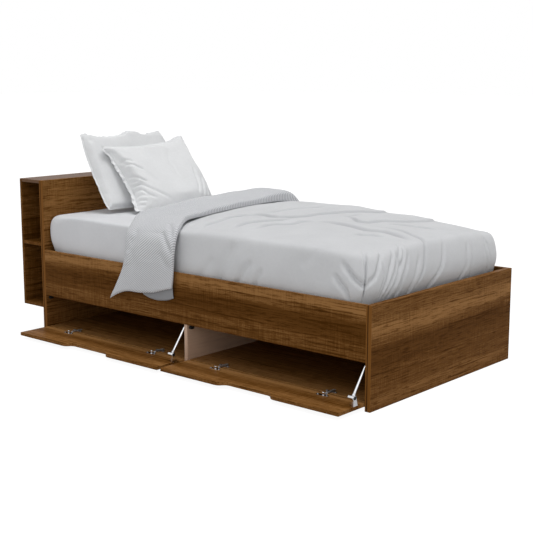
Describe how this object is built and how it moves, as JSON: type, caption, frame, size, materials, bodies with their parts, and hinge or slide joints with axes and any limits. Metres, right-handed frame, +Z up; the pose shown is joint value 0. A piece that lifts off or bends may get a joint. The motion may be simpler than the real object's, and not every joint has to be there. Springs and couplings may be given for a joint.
{
  "type": "storage bed",
  "caption": "Dressed single bed of walnut board with drop-down storage doors on stays and a bookcase headboard.",
  "frame": {"origin": "on the floor under the middle of the bed, on the lower edge of the centre partition", "axes": "+X from head to foot, +Y towards the closed long side, away from the storage doors, +Z up"},
  "size_m": [2.105, 1.205, 0.9601],
  "materials": {
    "walnut_veneer": "satin",
    "taupe_board": "satin",
    "pale_wood": "raw",
    "zinc_steel": "satin",
    "bright_chrome": "polished",
    "black_plastic": "matte",
    "mattress_ticking": "matte",
    "duvet_cotton": "matte",
    "pillow_cotton": "matte"
  },
  "bodies": {
    "bed_frame": {"head_panel": "walnut_veneer", "foot_panel": "walnut_veneer", "near_side_rail": "walnut_veneer", "far_side_panel": "walnut_veneer", "bookcase_back": "walnut_veneer", "bookcase_top": "walnut_veneer", "bookcase_bottom": "walnut_veneer", "bookcase_near_shelf": "walnut_veneer", "bookcase_far_shelf": "walnut_veneer", "bookcase_partition": "walnut_veneer", "left_storage_floor": "walnut_veneer", "right_storage_floor": "walnut_veneer", "compartment_divider": "taupe_board", "centre_partition": "taupe_board", "near_slat_cleat": "pale_wood", "far_slat_cleat": "pale_wood", "bed_slats": "pale_wood", "dowels": "pale_wood", "cam_bolts": "zinc_steel", "cam_locks": "zinc_steel", "bookcase_screws": "zinc_steel", "hinge_plate_screws": "zinc_steel", "hinge_plates": "zinc_steel", "hinge_arms": "bright_chrome", "stay_studs": "bright_chrome", "door_stops": "black_plastic", "mattress": "mattress_ticking", "duvet": "duvet_cotton", "back_pillow": "pillow_cotton", "front_pillow": "pillow_cotton"},
    "left_door_leaf": {"left_door": "walnut_veneer", "left_hinge_cups": "bright_chrome", "left_hinge_pins": "zinc_steel", "left_cup_screws": "zinc_steel", "left_stay_bracket": "bright_chrome", "left_stay_bush": "black_plastic"},
    "left_stay_upper": {"left_stay_rod": "bright_chrome"},
    "left_stay_lower": {"left_stay_tube": "bright_chrome"},
    "right_door_leaf": {"right_door": "walnut_veneer", "right_hinge_cups": "bright_chrome", "right_hinge_pins": "zinc_steel", "right_cup_screws": "zinc_steel", "right_stay_bracket": "bright_chrome", "right_stay_bush": "black_plastic"},
    "right_stay_upper": {"right_stay_rod": "bright_chrome"},
    "right_stay_lower": {"right_stay_tube": "bright_chrome"}
  },
  "joints": [
    {"name": "left_door_hinge", "type": "hinge", "parent": "bed_frame", "child": "left_door_leaf", "pos_m": [-0.40575, -0.518, 0.0225], "axis": [-1, 0, 0], "range_deg": [0, 90]},
    {"name": "left_stay_swing", "type": "hinge", "parent": "bed_frame", "child": "left_stay_upper", "pos_m": [0.0525, -0.4615, 0.226], "axis": [1, 0, 0], "range_deg": [0, 30.82]},
    {"name": "left_stay_slide", "type": "slide", "parent": "left_stay_upper", "child": "left_stay_lower", "axis": [0, 0.5944, 0.8042], "range_m": [0, 0.05853]},
    {"name": "right_door_hinge", "type": "hinge", "parent": "bed_frame", "child": "right_door_leaf", "pos_m": [0.55575, -0.518, 0.0225], "axis": [-1, 0, 0], "range_deg": [0, 90]},
    {"name": "right_stay_swing", "type": "hinge", "parent": "bed_frame", "child": "right_stay_upper", "pos_m": [1.014, -0.4615, 0.226], "axis": [1, 0, 0], "range_deg": [0, 30.82]},
    {"name": "right_stay_slide", "type": "slide", "parent": "right_stay_upper", "child": "right_stay_lower", "axis": [0, 0.5944, 0.8042], "range_m": [0, 0.05853]}
  ],
  "couplings": [
    {"joint": "left_stay_swing", "follows": "left_door_hinge", "ratio": 0.34221},
    {"joint": "left_stay_slide", "follows": "left_door_hinge", "m_per_rad": 0.03725},
    {"joint": "right_stay_swing", "follows": "right_door_hinge", "ratio": 0.34221},
    {"joint": "right_stay_slide", "follows": "right_door_hinge", "m_per_rad": 0.03725}
  ]
}
